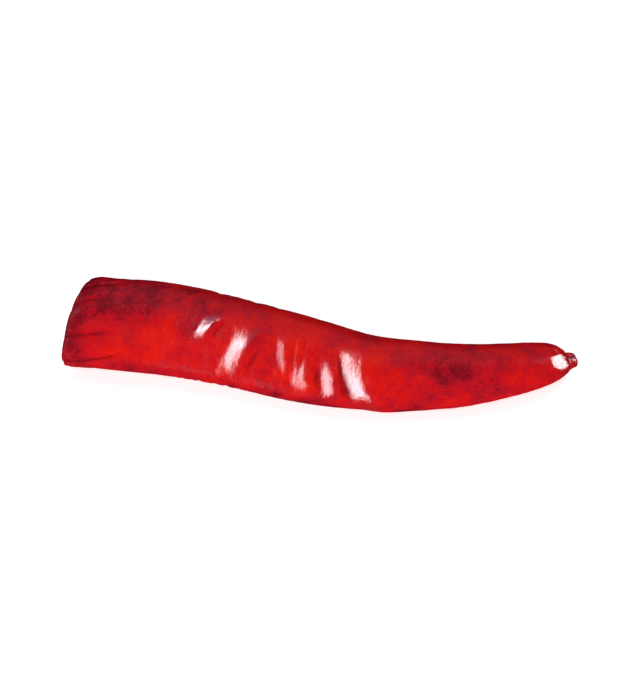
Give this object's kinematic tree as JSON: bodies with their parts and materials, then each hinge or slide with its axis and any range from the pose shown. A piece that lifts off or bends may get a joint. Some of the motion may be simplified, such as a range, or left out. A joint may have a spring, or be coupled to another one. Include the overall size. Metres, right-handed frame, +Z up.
{
  "type": "dried chilli pepper",
  "caption": "Whole dried red chilli pod without its stem, slightly bent, with a crumpled glossy skin, lying on its flatter side.",
  "frame": {"origin": "on the surface that the pod lies on, under the middle of the pod's bounding box", "axes": "+X along the pod from the stem scar to the tip, +Y away from the picture's viewer, +Z up"},
  "size_m": [0.0654, 0.0196, 0.0096],
  "materials": {
    "chilli_skin": null
  },
  "bodies": {
    "root": {"chilli_pod": "chilli_skin"}
  },
  "joints": []
}
